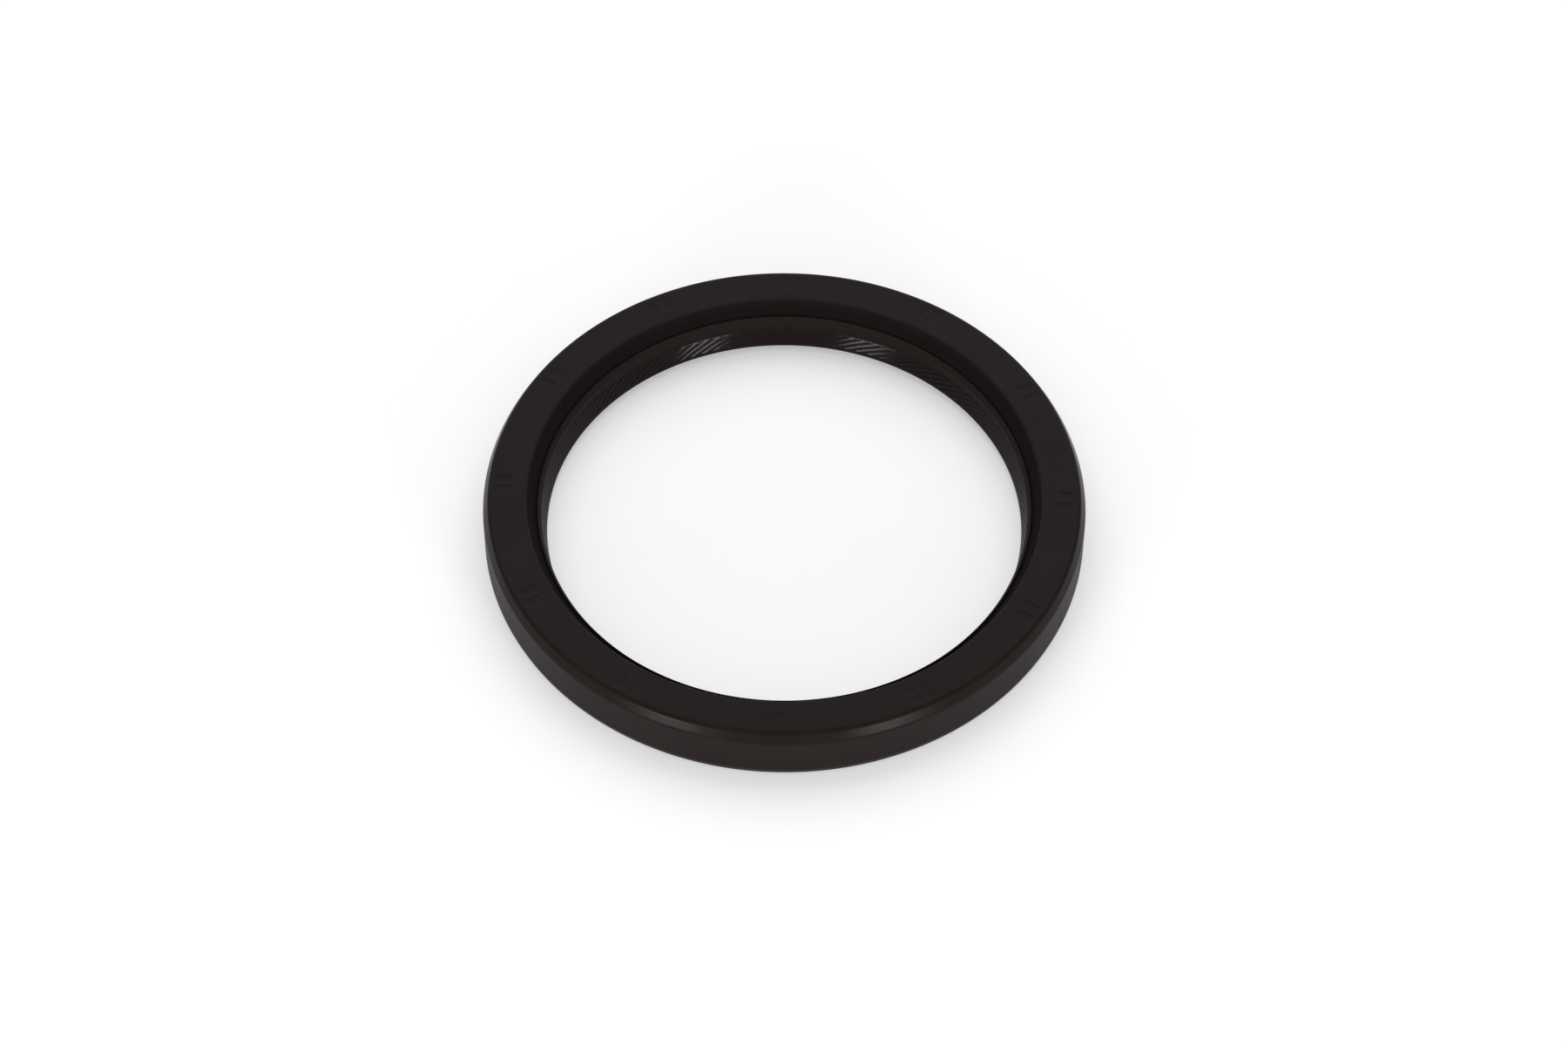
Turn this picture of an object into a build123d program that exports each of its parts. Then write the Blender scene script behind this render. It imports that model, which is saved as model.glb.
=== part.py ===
# Radial shaft seal, rubber covered outside, with one spring-loaded lip: 80 mm shaft, 100 mm housing, 10 mm wide.
#
# Three pieces, as made: a pressed steel case, a rubber body moulded and bonded round it, and a garter spring
# that drops into the groove of the lip from the oil side.
#
# Frame: the Z axis is the shaft axis, Z = 0 is the plane of the oil-side rim, and +Z points to the air side.
# Every section is drawn in the XZ plane as (radius, height) and turned about Z.

from build123d import *
from math import ceil, cos, degrees, radians, sin, tan
import os

# ---- Driving sizes, mm and degrees ----

# The three sizes that name the seal.
shaft_diameter = 80.0
housing_bore_diameter = 100.0
seal_width = 10.0

# Steel case: an L section, the flange towards the air side.
steel_thickness = 1.0
case_bend_radius = 0.8          # inside of the bend
flange_edge_cover = 0.9         # rubber between the throat's mouth and the edge of the flange

# Rubber over the case.
seat_cover = 1.1                # on the seat that is pressed into the housing
face_cover = 0.8                # on the flange, towards the air side
rim_cover = 0.6                 # under the free edge of the case
air_lead_in_length = 2.1        # tapers that start the seal in its bore, from either side
air_lead_in_depth = 1.0
oil_lead_in_length = 1.2
oil_lead_in_depth = 0.4
face_edge_radius = 0.5          # outer edge of the air-side face
foot_thickness = 0.5            # web of rubber that runs out under the flange
foot_width = 2.4

# Throat: the conical mouth that leads from the air-side face down to the membrane's collar.
throat_depth = 2.4
throat_width = 1.9
throat_edge_radius = 1.1        # where the throat leaves the face

# Membrane and lip.
lip_preload = 0.4               # how far the free lip stands inside the shaft's surface
lip_edge_height = 1.6           # lower end of the contact land, above the rim plane
contact_land = 0.2              # axial length of the sealing edge's flat
air_cone_angle = 25.0           # from the shaft axis
air_cone_height = 2.7
oil_cone_angle = 48.0           # from the shaft axis
head_clearance = 0.45           # bottom of the lip above the rim plane
membrane_thickness = 1.2
membrane_blend = 0.6            # inside corner where the membrane leaves the foot
ledge_radius = 0.3              # turn from the throat's slopes into the membrane
collar_depth = 0.9              # steeper second slope under the throat, down to the narrowest ring
collar_width = 0.57
collar_rise = 0.5               # how far the narrowest ring stands inside the membrane

# Garter spring and its groove.
spring_coil_diameter = 1.8
spring_clearance = 0.04         # all round the coil
spring_offset = 0.5             # towards the air side from the middle of the contact land
groove_wall = 1.5               # rubber from the contact land out to the bottom of the groove
groove_hook = 0.55              # how far the lips of the groove reach past the middle of the coil
shoulder_height = 0.5           # rubber above the groove, at the lip's outside
shoulder_slope = 45.0           # from the shaft axis, back to the membrane

# Pumping ribs on the air-side cone, all slanting one way.
rib_count = 120
rib_angle = 22.0                # from the circle of the lip
rib_width = 0.55
rib_height = 0.09               # at the sealing edge
rib_run_out = 0.045             # height that is left at the membrane end
rib_root = 0.05                 # how deep each rib is rooted in the lip
rib_margin = 0.06               # bare cone at either end of a rib
rib_stations = 3                # sections that shape each rib

# Shallow pockets that the case's supports in the mould leave in the air-side face, in pairs.
mark_stations = 12
mark_spacing = 2.3              # between the middles of the two pockets of a pair
mark_width = 1.65
mark_length = 2.7
mark_depth = 0.3
mark_inset = 1.05               # bare face outside the pockets
mark_phase = -2.0               # turn of the whole pattern about the shaft axis

# A round turn of a section is drawn in straight steps of at most this many degrees, each a short cone.
turn_step = 45.0

# ---- Sizes that follow ----

housing_radius = housing_bore_diameter / 2
lip_radius = shaft_diameter / 2 - lip_preload
land_top = lip_edge_height + contact_land
air_cone_top = land_top + air_cone_height
membrane_radius = lip_radius + air_cone_height * tan(radians(air_cone_angle))
membrane_back = membrane_radius + membrane_thickness
collar_radius = membrane_radius - collar_rise
throat_bottom_radius = collar_radius + collar_width
throat_mouth_radius = throat_bottom_radius + throat_width
throat_bottom = seal_width - throat_depth
collar_height = throat_bottom - collar_depth

case_radius = housing_radius - seat_cover
case_inner_radius = case_radius - steel_thickness
flange_top = seal_width - face_cover
flange_bottom = flange_top - steel_thickness
flange_edge_radius = throat_mouth_radius + flange_edge_cover
flange_reach = case_inner_radius - flange_edge_radius
foot_bottom = flange_bottom - foot_thickness
foot_radius = flange_edge_radius + foot_width

coil_radius = spring_coil_diameter / 2
groove_radius = coil_radius + spring_clearance
spring_ring_radius = lip_radius + groove_wall + groove_radius
spring_height = lip_edge_height + contact_land / 2 + spring_offset
head_radius = spring_ring_radius + groove_hook
shoulder_top = spring_height + groove_radius + shoulder_height
shoulder_run = (head_radius - membrane_back) / tan(radians(shoulder_slope))
oil_cone_radius = lip_radius + (lip_edge_height - head_clearance) * tan(radians(oil_cone_angle))

face_outer_radius = housing_radius - air_lead_in_depth
oil_rim_radius = housing_radius - oil_lead_in_depth
mark_middle_radius = face_outer_radius - mark_inset - mark_length / 2


def section(points):
    """A closed face in the XZ plane through (radius, height) corners."""
    return make_face(Plane.XZ * Polyline(*points, close=True))


def rounded(face, corner, radius):
    """The face with the corner nearest to (radius, height) rounded."""
    place = Vector(corner[0], 0, corner[1])
    vertex = face.vertices().sort_by_distance(place)[0]
    return fillet(vertex, radius)


def stepped(face):
    """The face with each arc of its outline drawn as straight steps of at most turn_step."""
    corners = []
    for edge in face.face().outer_wire().order_edges():
        steps = 1
        if edge.geom_type == GeomType.CIRCLE:
            steps = ceil(degrees(edge.length / edge.radius) / turn_step - 0.01)
        for step in range(steps):
            corners.append(edge.position_at(step / steps))
    return make_face(Polyline(*corners, close=True))


def turned(face):
    """The solid that a section gives when it is turned once about the shaft axis."""
    return revolve(face, Axis.Z, 360)


def case_section():
    """Pressed ring: a cylinder with a flange turned in at the air side."""
    outline = section(
        [
            (case_inner_radius, rim_cover),
            (case_radius, rim_cover),
            (case_radius, flange_top),
            (flange_edge_radius, flange_top),
            (flange_edge_radius, flange_bottom),
            (case_inner_radius, flange_bottom),
        ]
    )
    bend_radius = min(case_bend_radius, flange_reach * 0.9)
    outline = rounded(outline, (case_inner_radius, flange_bottom), bend_radius)
    return stepped(rounded(outline, (case_radius, flange_top), bend_radius + steel_thickness))


def cover_section():
    """Rubber over the case: the seat with its two tapers, the air-side face and the foot under the flange."""
    outline = section(
        [
            (case_inner_radius, 0),
            (oil_rim_radius, 0),
            (housing_radius, oil_lead_in_length),
            (housing_radius, seal_width - air_lead_in_length),
            (face_outer_radius, seal_width),
            (throat_mouth_radius, seal_width),
            (throat_bottom_radius, throat_bottom),
            (membrane_back, throat_bottom),
            (membrane_back, foot_bottom),
            (foot_radius, foot_bottom),
            (foot_radius + foot_thickness, flange_bottom),
            (case_inner_radius, flange_bottom),
        ]
    )
    outline = rounded(outline, (throat_mouth_radius, seal_width), throat_edge_radius)
    return rounded(outline, (face_outer_radius, seal_width), face_edge_radius)


def lip_section():
    """Collar, membrane and lip head: the air-side cone, the contact land, the oil-side cone and the spring's bed."""
    return section(
        [
            (throat_bottom_radius, throat_bottom),
            (collar_radius, collar_height),
            (membrane_radius, air_cone_top),
            (lip_radius, land_top),
            (lip_radius, lip_edge_height),
            (oil_cone_radius, head_clearance),
            (head_radius, head_clearance),
            (head_radius, shoulder_top),
            (membrane_back, shoulder_top + shoulder_run),
            (membrane_back, throat_bottom),
        ]
    )


def coil_section(radius):
    """Round section about the middle of the spring's coil, for the spring and for its bed in the lip."""
    return stepped(Plane.XZ * Pos(spring_ring_radius, spring_height) * Circle(radius))


def rubber_section():
    """The whole moulding, with the room for the case and the spring taken out."""
    outline = cover_section() + lip_section()
    outline = rounded(outline, (collar_radius, collar_height), ledge_radius)
    outline = rounded(outline, (membrane_back, foot_bottom), membrane_blend)
    return stepped(outline) - case_section() - coil_section(groove_radius)


def cone_point(distance, turn, lift):
    """A point above the air-side cone: distance up the cone from the land, turn in degrees, lift off it."""
    slope = radians(air_cone_angle)
    radius = lip_radius + distance * sin(slope) - lift * cos(slope)
    height = land_top + distance * cos(slope) + lift * sin(slope)
    return Vector(radius * cos(radians(turn)), radius * sin(radians(turn)), height)


def rib_wire(distance, lift):
    """Triangular section of a rib, where its middle line is that distance up the cone."""
    slant = radians(rib_angle)
    radius = lip_radius + distance * sin(radians(air_cone_angle))
    turn = -degrees(distance / tan(slant) / radius)
    side_step = rib_width / 2 * cos(slant)
    side_turn = degrees(rib_width / 2 * sin(slant) / radius)
    corners = [
        cone_point(distance - side_step, turn - side_turn, -rib_root),
        cone_point(distance + side_step, turn + side_turn, -rib_root),
        cone_point(distance, turn, lift),
    ]
    return Wire.make_polygon(corners, close=True)


def rib():
    """One pumping rib, high at the sealing edge and running out towards the membrane."""
    cone_length = air_cone_height / cos(radians(air_cone_angle))
    reach = rib_width / 2 * cos(radians(rib_angle)) + rib_margin
    first = reach
    last = cone_length - reach
    wires = []
    for station in range(rib_stations):
        share = station / (rib_stations - 1)
        lift = rib_height + share * (rib_run_out - rib_height)
        wires.append(rib_wire(first + share * (last - first), lift))
    return Solid.make_loft(wires)


def face_marks():
    """Pairs of shallow pockets in the air-side face."""
    pocket = Pos(mark_middle_radius, 0, seal_width - mark_depth / 2) * Box(mark_length, mark_width, mark_depth)
    marks = []
    for station in range(mark_stations):
        turn = mark_phase + station * 360 / mark_stations
        for side in (-1, 1):
            marks.append(Rot(0, 0, turn) * Pos(0, side * mark_spacing / 2, 0) * pocket)
    return marks


def metal_case():
    return turned(case_section())


def rubber_body():
    ribs = [Rot(0, 0, count * 360 / rib_count) * rib() for count in range(rib_count)]
    body = turned(rubber_section()).fuse(*ribs)
    return body.cut(*face_marks())


def garter_spring():
    """Close-wound coil spring with its ends joined, as the ring that its coils fill."""
    return turned(coil_section(coil_radius))


os.makedirs("parts", exist_ok=True)
for name, build in (("rubber_body", rubber_body), ("metal_case", metal_case), ("garter_spring", garter_spring)):
    piece = build()
    piece.label = name
    export_step(piece, f"parts/{name}.step")
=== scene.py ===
import math

import bpy
import numpy as np
from mathutils import Euler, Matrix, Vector


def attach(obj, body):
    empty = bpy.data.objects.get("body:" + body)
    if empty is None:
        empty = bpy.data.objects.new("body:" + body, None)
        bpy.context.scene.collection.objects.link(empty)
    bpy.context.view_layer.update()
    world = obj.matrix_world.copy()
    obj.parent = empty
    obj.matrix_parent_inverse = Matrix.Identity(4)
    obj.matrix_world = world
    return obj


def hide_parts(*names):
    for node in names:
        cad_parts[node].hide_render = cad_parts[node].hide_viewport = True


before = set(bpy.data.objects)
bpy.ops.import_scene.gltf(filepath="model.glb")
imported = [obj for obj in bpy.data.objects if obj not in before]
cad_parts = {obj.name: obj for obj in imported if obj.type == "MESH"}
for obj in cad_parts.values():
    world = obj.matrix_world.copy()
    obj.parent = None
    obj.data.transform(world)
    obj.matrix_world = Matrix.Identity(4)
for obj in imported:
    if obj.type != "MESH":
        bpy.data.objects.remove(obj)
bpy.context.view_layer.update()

scene = bpy.context.scene
scene.view_settings.view_transform = "Standard"

# ---- Camera ----
# A long lens some 0.7 m away, looking down on the air side at about 51 degrees.

camera_elevation = math.radians(51.44)
camera_roll = math.radians(0.228)
camera_distance = 0.6886
camera_target = Vector((-0.00004, -0.003875, 0.00691))
camera_data = bpy.data.cameras.new("camera")
camera_data.sensor_width = 36
camera_data.lens = 95.44
camera_data.clip_start = 0.01
camera = bpy.data.objects.new("camera", camera_data)
camera_arm = Vector((0, -math.cos(camera_elevation), math.sin(camera_elevation)))
camera.location = camera_target + camera_distance * camera_arm
camera_aim = Euler((math.pi / 2 - camera_elevation, 0, 0)).to_matrix()
camera.rotation_euler = (camera_aim @ Euler((0, 0, camera_roll)).to_matrix()).to_euler()
scene.collection.objects.link(camera)
scene.camera = camera

# ---- Rubber body ----
# One moulding of black nitrile rubber: seat, face, dust lip with its groove, membrane, sealing lip.
# It is pressed in a heated mould round the steel case and bonded to it, which leaves soft edges
# and a fine grain. Ribs on the lip pump oil back; the case's supports leave pockets in the face.

# Sizes are in millimetres: radii from the shaft's axis, heights from the rim on the oil side.
mm = 0.001
seat_radius = 50.0
seat_bottom = 1.2
seat_top = 8.05
rim_radius = 49.6
face_radius = 49.0
face_height = 10.0
face_guide_radius = 47.0
throat_radius = 42.829
throat_bend_radius = 42.6
throat_bend_height = 8.5
dust_groove_bottom = 7.15
dust_ridge_back = 41.02
dust_ridge_radius = 40.86
dust_ridge_height = 7.6
dust_tip_radius = 40.359
dust_tip_height = 6.7
membrane_radius = 40.859
membrane_back = 42.059
air_cone_top = 4.5
air_cone_bottom = 1.8
air_cone_slope = math.radians(25)
lip_radius = 39.6
land_bottom = 1.6
oil_cone_radius = 40.877
lip_bottom = 0.45
head_radius = 42.59
shoulder_height = 3.64
shoulder_back_height = 4.171
neck_back = 43.0
neck_bottom = 6.0
neck_top = 7.0
web_bottom = 7.7
web_radius = 46.129
web_edge_radius = 46.629
spring_ring_radius = 42.04
spring_height = 2.2
groove_radius = 0.94
groove_steps = 11

# The steel case that the rubber closes round, with the bend that the bonded face follows.
case_radius = 48.9
case_wall = 47.9
case_bottom = 0.6
case_bend = 1.8
bond_bend_steps = 2
flange_edge = 43.729
flange_top = 9.2
flange_bottom = 8.2

# Each rib is a saw-tooth that falls away over 7 of its 8 columns. It leaves bare cone at either
# end, rises over rib_end there, and gets lower from rib_height to rib_run_out up the cone.
rib_count = 120
rib_slant = math.radians(22)
rib_height = 0.075
rib_run_out = 0.045
rib_margin = 0.06
rib_end = 0.15
rib_fall = 7 / 8
rib_rings = 14
rib_first_ring = 0.3
rib_last_ring = 0.12
cone_length = (air_cone_top - air_cone_bottom) / math.cos(air_cone_slope)

# The pockets lie in pairs, and their walls slope over pocket_slope. The columns that come near
# to a side wall are moved onto its edges, and rings lie at and beside the edges of an end wall.
pocket_stations = 12
pocket_spacing = 2.3
pocket_width = 1.65
pocket_inner = 45.25
pocket_outer = 47.95
pocket_depth = 0.18
pocket_slope = 0.6
pocket_phase = math.radians(-2.0)
pocket_floor_inner = (pocket_spacing - pocket_width + pocket_slope) / 2
pocket_floor_outer = (pocket_spacing + pocket_width - pocket_slope) / 2
pocket_rim_outer = (pocket_spacing + pocket_width + pocket_slope) / 2
pocket_wall_columns = ((2, pocket_floor_inner), (5, pocket_floor_outer), (7, pocket_rim_outer))
pocket_wall_rings = (0.4, 0.3, -0.3, -0.4)

# A ring has coarse columns, or fine ones where ribs or pockets cross it. A rounded edge turns at
# most turn_step, runs at most arc_step between rings, and takes at most side_share of a side.
coarse_columns = 480
fine_columns = 960
turn_step = math.radians(18)
arc_step = 0.4
side_share = 0.45
least_support = 0.01
sharp_angle = math.radians(38)


def arc(middle, radius, start, end, steps):
    """Points along an arc of a section, start and end in degrees."""
    turns = np.radians(np.linspace(start, end, steps + 1))
    return [(middle[0] + radius * math.cos(t), middle[1] + radius * math.sin(t)) for t in turns]


def soften(corners, support=0.05):
    """The closed outline through (radius, height, rounding) corners, with each corner rounded.

    Support is how far beyond each rounding a further point holds the flat side in shape.
    """
    points = []
    for index, (x, y, rounding) in enumerate(corners):
        here = np.array((x, y))
        if rounding == 0:
            points.append(tuple(here))
            continue
        before = np.array(corners[index - 1][:2]) - here
        after = np.array(corners[(index + 1) % len(corners)][:2]) - here
        room = min(np.linalg.norm(before), np.linalg.norm(after))
        before, after = before / np.linalg.norm(before), after / np.linalg.norm(after)
        half = math.acos(np.clip(np.dot(before, after), -1, 1)) / 2
        reach = min(rounding / math.tan(half), room * side_share)
        radius = reach * math.tan(half)
        inward = (before + after) / np.linalg.norm(before + after)
        middle = here + inward * radius / math.sin(half)
        first, last = here + before * reach, here + after * reach
        bend = math.pi - 2 * half
        steps = max(2, math.ceil(bend / turn_step), math.ceil(bend * radius / arc_step))
        pad = min(support, room / 2 - reach)
        if pad > least_support:
            points.append(tuple(first + before * pad))
        for step in range(steps + 1):
            spot = first + (last - first) * step / steps
            points.append(tuple(middle + (spot - middle) / np.linalg.norm(spot - middle) * radius))
        if pad > least_support:
            points.append(tuple(last + after * pad))
    return points


def ring(radius, height, columns=coarse_columns, turn=0.0):
    """One ring of a turned surface: its angles, radii and heights."""
    angles = turn + np.arange(columns) * 2 * math.pi / columns
    return angles, np.full(columns, float(radius)), np.full(columns, float(height))


def bridge(first, second, first_start, second_start):
    """Faces between two rings, whose column counts are the same or differ by two to one."""
    if len(first[0]) > len(second[0]):
        return [face[::-1] for face in bridge(second, first, second_start, first_start)]
    count, fine = len(first[0]), len(second[0])
    share = fine // count
    shift = round((first[0][0] - second[0][0]) / (2 * math.pi / fine))
    faces = []
    for column in range(count):
        a = first_start + column
        b = first_start + (column + 1) % count
        c = [second_start + (column * share + shift + k) % fine for k in range(share + 1)]
        if share == 1:
            faces.append((a, b, c[1], c[0]))
        else:
            faces += [(a, c[1], c[0]), (a, b, c[1]), (b, c[2], c[1])]
    return faces


def turned_mesh(name, rings):
    """A closed smooth-shaded mesh through a loop of rings."""
    starts = np.concatenate([[0], np.cumsum([len(r[0]) for r in rings])])
    angles, radii, heights = (np.concatenate([r[k] for r in rings]) for k in range(3))
    places = np.stack([radii * np.cos(angles), radii * np.sin(angles), heights], axis=1) * mm
    faces = []
    for index in range(len(rings)):
        after = (index + 1) % len(rings)
        faces += bridge(rings[index], rings[after], int(starts[index]), int(starts[after]))
    mesh = bpy.data.meshes.new(name)
    mesh.from_pydata(places.tolist(), [], faces)
    mesh.shade_smooth()
    mesh.set_sharp_from_angle(angle=sharp_angle)
    made = bpy.data.objects.new(name, mesh)
    scene.collection.objects.link(made)
    return made


def pocket_columns(radius, wall_radius):
    """Angles of a fine ring across the face, with columns drawn to the pockets' walls."""
    angles = ring(radius, 0, fine_columns, pocket_phase)[0]
    for station in range(pocket_stations):
        first = station * fine_columns // pocket_stations
        for column, across in pocket_wall_columns:
            for side in (-1, 1):
                drawn = (first + side * column) % fine_columns
                angles[drawn] = angles[first] + side * across / wall_radius
    return angles


def pocket_ring(radius):
    """A ring of the air-side face, sunk where it crosses a pocket."""
    wall_radius = min(max(radius, pocket_inner), pocket_outer)
    angles = pocket_columns(radius, wall_radius)
    pitch = 2 * math.pi / pocket_stations
    across = ((angles - pocket_phase + pitch / 2) % pitch - pitch / 2) * wall_radius
    from_middle = np.abs(np.abs(across) - pocket_spacing / 2)
    side = np.clip((pocket_width / 2 - from_middle) / pocket_slope + 0.5, 0, 1)
    end_room = min(radius - pocket_inner, pocket_outer - radius)
    end = np.clip(end_room / pocket_slope + 0.5, 0, 1)
    return angles, np.full(fine_columns, radius), face_height - pocket_depth * side * end


def rib_ring(distance):
    """A ring of the air-side cone that leans with the ribs, that far up from its lower edge."""
    radius = lip_radius + distance * math.sin(air_cone_slope)
    height = air_cone_bottom + distance * math.cos(air_cone_slope)
    turn = -distance / math.tan(rib_slant) / radius
    angles = ring(radius, height, fine_columns, turn)[0]
    pitch = 2 * math.pi / rib_count
    crest = 1 - np.round((angles - turn) % pitch / pitch, 3) % 1 / rib_fall
    end_room = min(distance, cone_length - distance) - rib_margin
    lift = rib_height + (rib_run_out - rib_height) * distance / cone_length
    lift = lift * min(max(end_room / rib_end, 0), 1) * np.clip(crest, 0, 1)
    inward, upward = math.cos(air_cone_slope), math.sin(air_cone_slope)
    return angles, radius - lift * inward, height + lift * upward


# The section in runs of (radius, height, rounding). The end corners that a slice drops only give
# a run its direction there.
outer = soften(
    [
        (case_wall, 0.0, 0.12),
        (rim_radius, 0.0, 0.25),
        (seat_radius, seat_bottom, 1.2),
        (seat_radius, seat_top, 1.3),
        (face_radius, face_height, 0.9),
        (face_guide_radius, face_height, 0),
    ]
)[:-1]
throat = soften(
    [
        (face_radius, face_height, 0),
        (throat_radius, face_height, 0.18),
        (throat_bend_radius, throat_bend_height, 0.4),
        (dust_ridge_back, dust_groove_bottom, 0.18),
        (dust_ridge_back, dust_ridge_height, 0.06),
        (dust_ridge_radius, dust_ridge_height, 0.06),
        (dust_tip_radius, dust_tip_height, 0.3),
        (membrane_radius, air_cone_top, 0.35),
        (lip_radius, air_cone_bottom, 0),
    ]
)[1:-1]
head = soften(
    [
        (lip_radius + 0.5, air_cone_bottom + 1.0, 0),
        (lip_radius, air_cone_bottom, 0.04),
        (lip_radius, land_bottom, 0.04),
        (oil_cone_radius, lip_bottom, 0.15),
        (head_radius, lip_bottom, 0.2),
        (head_radius, spring_height, 0),
    ]
)[1:-1]
groove_turn = math.degrees(math.acos((head_radius - spring_ring_radius) / groove_radius))
groove_middle = (spring_ring_radius, spring_height)
groove = arc(groove_middle, groove_radius, -groove_turn, groove_turn - 360, groove_steps)
back = soften(
    [
        (head_radius, spring_height, 0),
        (head_radius, shoulder_height, 0.15),
        (membrane_back, shoulder_back_height, 0.3),
        (membrane_back, neck_bottom, 0.6),
        (neck_back, neck_top, 0.3),
        (neck_back, web_bottom, 0.3),
        (web_radius, web_bottom, 0.1),
        (web_edge_radius, flange_bottom, 0),
    ],
    support=0.0,
)[1:]
bend_middle = (case_radius - case_bend, flange_top - case_bend)
bond = [(flange_edge, flange_bottom), (flange_edge, flange_top)]
bond += arc(bend_middle, case_bend, 90, 0, bond_bend_steps)
bond += [(case_radius, case_bottom), (case_wall, case_bottom)]

rib_distances = cone_length - np.linspace(rib_first_ring, cone_length - rib_last_ring, rib_rings)
rings = [ring(r, z) for r, z in outer]
rings += [pocket_ring(end + d) for end in (pocket_outer, pocket_inner) for d in pocket_wall_rings]
rings += [ring(r, z) for r, z in throat]
rings += [rib_ring(distance) for distance in rib_distances]
rings += [ring(r, z) for r, z in head + groove + back + bond]
rubber_body = turned_mesh("seal_rubber", rings)


class Field:
    """A node's output in a material. Arithmetic on it adds Math nodes."""

    def __init__(self, tree, output=None):
        self.tree = tree
        self.output = output

    def node(self, kind, settings, values, output=0):
        """Adds a node: its settings, then the values or links of its sockets."""
        made = self.tree.nodes.new(kind)
        for name, setting in settings.items():
            setattr(made, name, setting)
        for name, value in values.items():
            if isinstance(value, Field):
                self.tree.links.new(value.output, made.inputs[name])
            else:
                made.inputs[name].default_value = value
        return Field(self.tree, made.outputs[output] if made.outputs else None)

    def maths(self, operation, first, second):
        return self.node("ShaderNodeMath", {"operation": operation}, {0: first, 1: second})

    def __add__(self, other):
        return self.maths("ADD", self, other)

    def __radd__(self, other):
        return self.maths("ADD", other, self)

    def __sub__(self, other):
        return self.maths("SUBTRACT", self, other)

    def __rsub__(self, other):
        return self.maths("SUBTRACT", other, self)

    def __mul__(self, other):
        return self.maths("MULTIPLY", self, other)

    def __rmul__(self, other):
        return self.maths("MULTIPLY", other, self)

    def vectors(self, operation, values, output=0):
        return self.node("ShaderNodeVectorMath", {"operation": operation}, values, output)

    def noise(self, place, scale, detail, roughness=0.6):
        values = {"Vector": place, "Scale": scale, "Detail": detail, "Roughness": roughness}
        return self.node("ShaderNodeTexNoise", {}, values)

    def between(self, low, high):
        """0 below low, 1 above high, smooth in between."""
        settings = {"interpolation_type": "SMOOTHSTEP"}
        values = {"Value": self, "From Min": low, "From Max": high}
        return self.node("ShaderNodeMapRange", settings, values)

    def colors(self, first, second):
        """The colour from first to second that this mask picks, in a Mix node's colour sockets."""
        return self.node("ShaderNodeMix", {"data_type": "RGBA"}, {0: self, 6: first, 7: second}, 2)

    def bumps(self, height, strength, distance):
        values = {"Strength": strength, "Distance": distance, "Height": height}
        return self.node("ShaderNodeBump", {}, values)

    def surface(self, values):
        """Makes a Principled shader from its values and puts it on the material's surface."""
        shader = self.node("ShaderNodeBsdfPrincipled", {}, values)
        self.node("ShaderNodeOutputMaterial", {}, {"Surface": shader})


def new_material(name):
    """An empty node material, and the field that its nodes grow from."""
    material = bpy.data.materials.new(name)
    material.use_nodes = True
    material.node_tree.nodes.clear()
    return material, Field(material.node_tree)


rubber_black = (0.0122, 0.0080, 0.0072, 1)
rubber_bloom = (0.0146, 0.0098, 0.0089, 1)
# Painted light: a lighter rubber stands in for the light on the lips inside the dust lip's ridge.
painted_lip_light = (0.0160, 0.0112, 0.0103, 1)
# Painted shade: a darker rubber for the groove behind the dust lip's ridge, where shade falls.
painted_groove_shade = (0.0076, 0.0050, 0.0045, 1)
moulded_roughness = 0.22
haze_roughness = 0.08
bloom_roughness = 0.04
seat_roughness = 0.2
dust_lip_roughness = 0.45
dust_groove_roughness = 0.35
lip_polish = 0.14

rubber, field = new_material("nitrile_rubber")
place = field.node("ShaderNodeTexCoord", {}, {}, "Object")
from_axis = field.vectors("MULTIPLY", {0: place, 1: (1, 1, 0)})
radius = field.vectors("LENGTH", {0: from_axis}, "Value")
height = field.node("ShaderNodeSeparateXYZ", {}, {0: place}, "Z")

# Masks for the seat, the lips inside the dust lip's ridge, and the groove behind that ridge. The
# groove's darker colour is painted shade, and the lips' lighter colour is painted light.
seat = radius.between(49.3 * mm, 49.5 * mm) * (1 - height.between(7.6 * mm, 8.0 * mm))
lips = 1 - radius.between(41.01 * mm, 41.04 * mm)
above_ribs = height.between(4.4 * mm, 4.6 * mm)
dust_lip = lips * above_ribs
ribbed_lip = lips * (1 - above_ribs)
behind_mouth = 1 - radius.between(42.76 * mm, 42.86 * mm)
dust_groove = (1 - lips) * behind_mouth * height.between(6.1 * mm, 6.4 * mm)

bloom = field.noise(place, scale=90.0, detail=4.0).between(0.38, 0.68)
grain = field.noise(place, scale=5200.0, detail=2.0)
haze = field.noise(place, scale=700.0, detail=3.0)
relief = 0.7 * grain + 0.5 * haze
skin_and_painted_light = bloom.colors(rubber_black, rubber_bloom)
# Painted shade: the groove behind the dust lip's ridge is coloured darker.
skin_and_painted_light = dust_groove.colors(skin_and_painted_light, painted_groove_shade)
# Painted light: the lips inside the dust lip's ridge are coloured lighter than the rest of the
# moulding.
skin_and_painted_light = lips.colors(skin_and_painted_light, painted_lip_light)
finish = moulded_roughness + haze_roughness * haze + bloom_roughness * bloom
finish = finish + seat_roughness * seat + dust_lip_roughness * dust_lip
finish = finish + dust_groove_roughness * dust_groove - lip_polish * ribbed_lip
field.surface(
    {
        "Base Color": skin_and_painted_light,
        "Roughness": finish,
        "Specular IOR Level": 0.075,
        "Normal": field.bumps(relief, strength=0.25, distance=0.04 * mm),
    }
)
rubber_body.data.materials.append(rubber)
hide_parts("rubber_body")
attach(rubber_body, "root")

# ---- Steel case ----
# An L-shaped ring pressed from 1 mm cold-rolled strip, which keeps the seat stiff in its housing.
# Only its inner wall and the underside of its flange are bare; the rest is bonded in the rubber.

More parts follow.
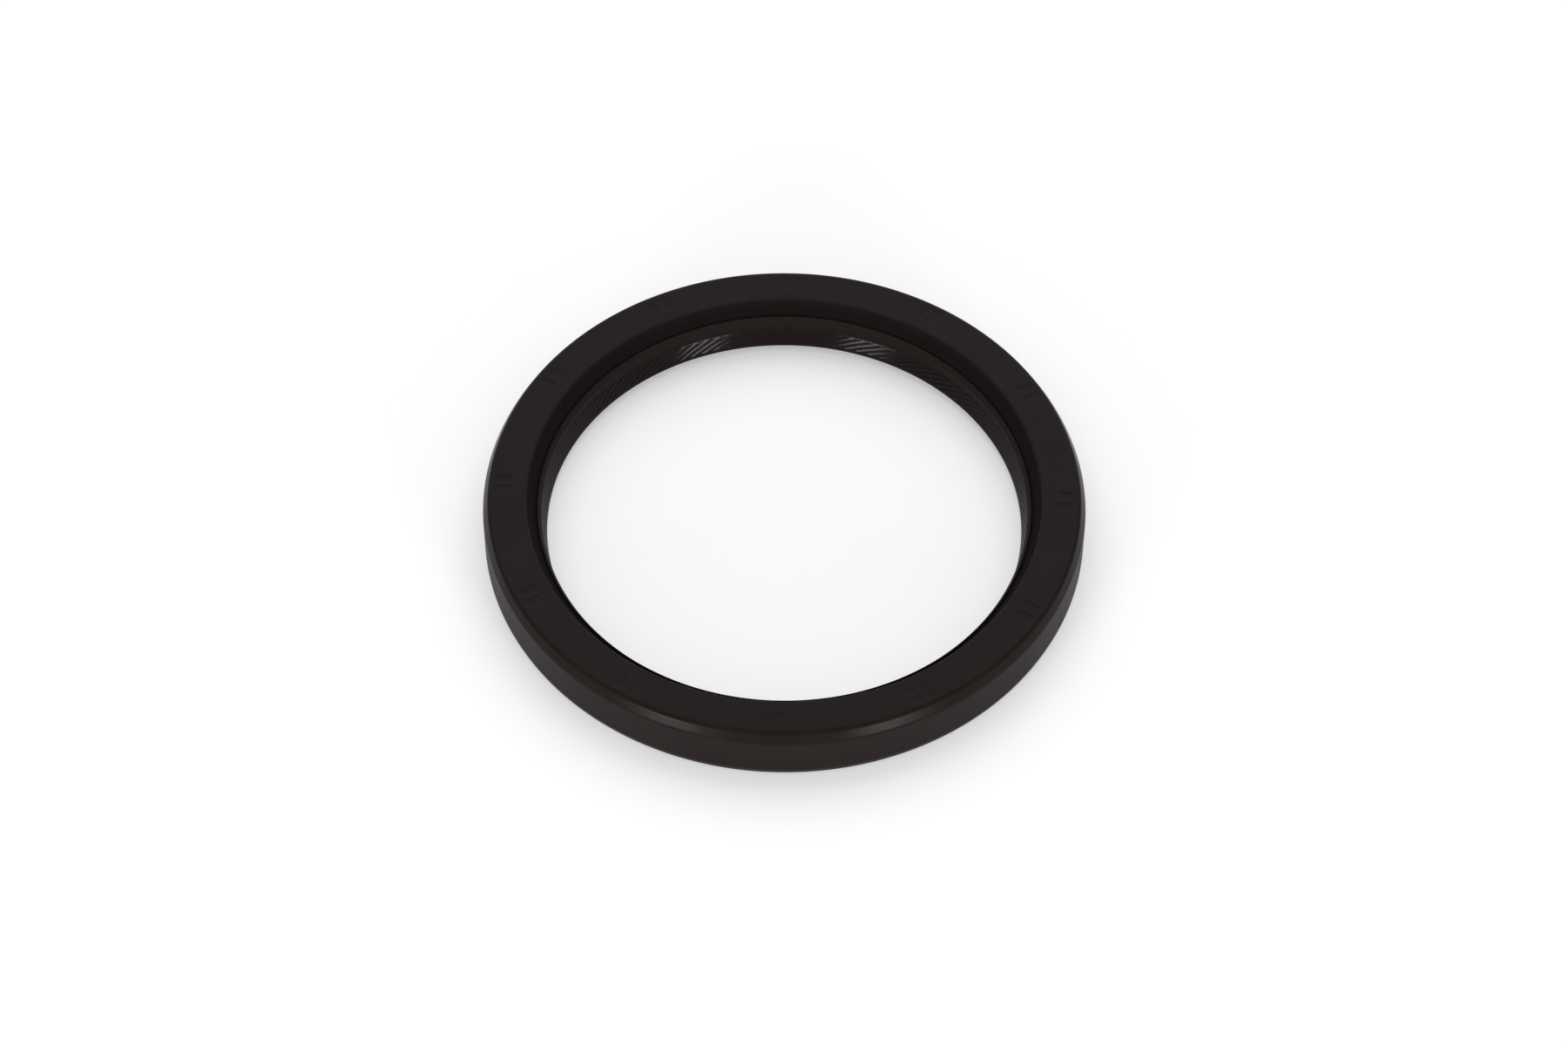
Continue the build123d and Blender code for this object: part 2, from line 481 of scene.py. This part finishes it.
case_inner_bend = 0.8
case_corners = [
    (case_wall, case_bottom, 0),
    (case_radius, case_bottom, 0),
    (case_radius, flange_top, case_bend),
    (flange_edge, flange_top, 0),
    (flange_edge, flange_bottom, 0),
    (case_wall, flange_bottom, case_inner_bend),
]
metal_case = turned_mesh("seal_case", [ring(r, z) for r, z in soften(case_corners)])

bare_steel = (0.44, 0.44, 0.45, 1)
stained_steel = (0.31, 0.30, 0.29, 1)

steel, field = new_material("case_steel")
place = field.node("ShaderNodeTexCoord", {}, {}, "Object")
drawn_out = field.node("ShaderNodeMapping", {}, {"Vector": place, "Scale": (1, 1, 14)})
draw_marks = field.noise(drawn_out, scale=500.0, detail=4.0, roughness=0.65)
stains = field.noise(place, scale=120.0, detail=4.0).between(0.45, 0.7)
field.surface(
    {
        "Base Color": stains.colors(bare_steel, stained_steel),
        "Metallic": 1.0,
        "Roughness": 0.30 + 0.14 * draw_marks + 0.1 * stains,
        "Normal": field.bumps(draw_marks, strength=0.2, distance=0.03 * mm),
    }
)
metal_case.data.materials.append(steel)
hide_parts("metal_case")
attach(metal_case, "root")

# ---- Garter spring ----
# A close-wound coil of spring-steel wire, its ends screwed into each other to make a stretchy ring.
# It lies in the groove of the lip and presses the sealing edge on the shaft.

wire_diameter = 0.36
coil_diameter = 1.8
coil_pitch = 0.375
points_per_turn = 14
wire_sides = 6


def coiled_ring(name):
    """The wire as a closed tube that winds round the ring's middle line."""
    turns = round(2 * math.pi * spring_ring_radius / coil_pitch)
    count = turns * points_per_turn
    share = np.arange(count) / count
    around, wind = 2 * math.pi * share, 2 * math.pi * turns * share
    coil_radius = (coil_diameter - wire_diameter) / 2
    radial = np.stack([np.cos(around), np.sin(around), 0 * around], axis=1)
    upward = np.array([0.0, 0.0, 1.0])
    out = radial * np.cos(wind)[:, None] + upward * np.sin(wind)[:, None]
    middle = radial * spring_ring_radius + upward * spring_height + out * coil_radius
    along = np.roll(middle, -1, axis=0) - np.roll(middle, 1, axis=0)
    along /= np.linalg.norm(along, axis=1)[:, None]
    side = np.cross(along, out)
    side /= np.linalg.norm(side, axis=1)[:, None]
    across = np.cross(side, along)
    places = []
    for corner in range(wire_sides):
        turn = 2 * math.pi * corner / wire_sides
        off_middle = across * math.cos(turn) + side * math.sin(turn)
        places.append(middle + off_middle * wire_diameter / 2)
    places = np.stack(places, axis=1).reshape(-1, 3) * mm
    faces = []
    for point in range(count):
        here, after = point * wire_sides, (point + 1) % count * wire_sides
        for corner in range(wire_sides):
            beside = (corner + 1) % wire_sides
            faces.append((here + corner, here + beside, after + beside, after + corner))
    mesh = bpy.data.meshes.new(name)
    mesh.from_pydata(places.tolist(), [], faces)
    mesh.shade_smooth()
    made = bpy.data.objects.new(name, mesh)
    scene.collection.objects.link(made)
    return made


garter_spring = coiled_ring("seal_garter_spring")

bright_wire = (0.55, 0.54, 0.52, 1)
oiled_wire = (0.40, 0.38, 0.35, 1)

spring_steel, field = new_material("spring_steel")
place = field.node("ShaderNodeTexCoord", {}, {}, "Object")
oil_film = field.noise(place, scale=150.0, detail=3.0).between(0.4, 0.7)
drawn = field.noise(place, scale=1800.0, detail=3.0)
field.surface(
    {
        "Base Color": oil_film.colors(bright_wire, oiled_wire),
        "Metallic": 1.0,
        "Roughness": 0.22 + 0.12 * drawn + 0.08 * oil_film,
        "Normal": field.bumps(drawn, strength=0.15, distance=0.02 * mm),
    }
)
garter_spring.data.materials.append(spring_steel)
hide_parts("garter_spring")
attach(garter_spring, "root")

# ---- Floor and studio ----
# A plain white floor, lit by two small soft boxes that stand low in front, one to either side,
# and a large one that hangs high behind. An even grey world fills the rest.

floor_reach = 3.0
floor_grey = 0.88
floor_glow = 0.34
floor_corners = [(-1, -1), (1, -1), (1, 1), (-1, 1)]
floor_mesh = bpy.data.meshes.new("floor")
floor_places = [(x * floor_reach, y * floor_reach, 0) for x, y in floor_corners]
floor_mesh.from_pydata(floor_places, [], [(0, 1, 2, 3)])
floor = bpy.data.objects.new("floor", floor_mesh)
scene.collection.objects.link(floor)

# The floor glows a little for rays that see it, so that it is white and still keeps its shadow.
floor_white, field = new_material("floor_white")
camera_rays, glossy_rays, clear_rays = (
    field.node("ShaderNodeLightPath", {}, {}, f"Is {kind} Ray")
    for kind in ("Camera", "Glossy", "Transmission")
)
seen = field.maths("MINIMUM", camera_rays + glossy_rays + clear_rays, 1.0)
matte = field.node("ShaderNodeBsdfDiffuse", {}, {"Color": (floor_grey, floor_grey, floor_grey, 1)})
glow = field.node("ShaderNodeEmission", {}, {"Color": (1, 1, 1, 1), "Strength": seen * floor_glow})
lit = field.node("ShaderNodeAddShader", {}, {0: matte, 1: glow})
field.node("ShaderNodeOutputMaterial", {}, {"Surface": lit})
floor_mesh.materials.append(floor_white)

front_box_distance = 0.8
front_box_height = 0.086
front_box_turns = {"front_box_left": math.radians(-35), "front_box_right": math.radians(31.5)}


def soft_box(name, place, target, width, height, power):
    """A rectangular area lamp that faces its target."""
    light = bpy.data.lights.new(name, "AREA")
    light.shape = "RECTANGLE"
    light.size = width
    light.size_y = height
    light.energy = power
    made = bpy.data.objects.new(name, light)
    made.location = place
    made.rotation_euler = (Vector(target) - Vector(place)).to_track_quat("-Z", "Y").to_euler()
    scene.collection.objects.link(made)


for name, turn in front_box_turns.items():
    x, y = front_box_distance * math.sin(turn), -front_box_distance * math.cos(turn)
    place, target = (x, y, front_box_height), (0, 0, front_box_height)
    soft_box(name, place, target, width=0.225, height=0.17, power=2.42)
soft_box("rear_box", (0, 1.0, 1.25), (0, 0, 0), width=2.2, height=1.5, power=9.4)

world_grey = 0.52
world = bpy.data.worlds.new("studio")
scene.world = world
world.use_nodes = True
world.node_tree.nodes.clear()
field = Field(world.node_tree)
even_light = {"Color": (world_grey, world_grey, world_grey, 1), "Strength": 1.0}
background = field.node("ShaderNodeBackground", {}, even_light)
field.node("ShaderNodeOutputWorld", {}, {"Surface": background})
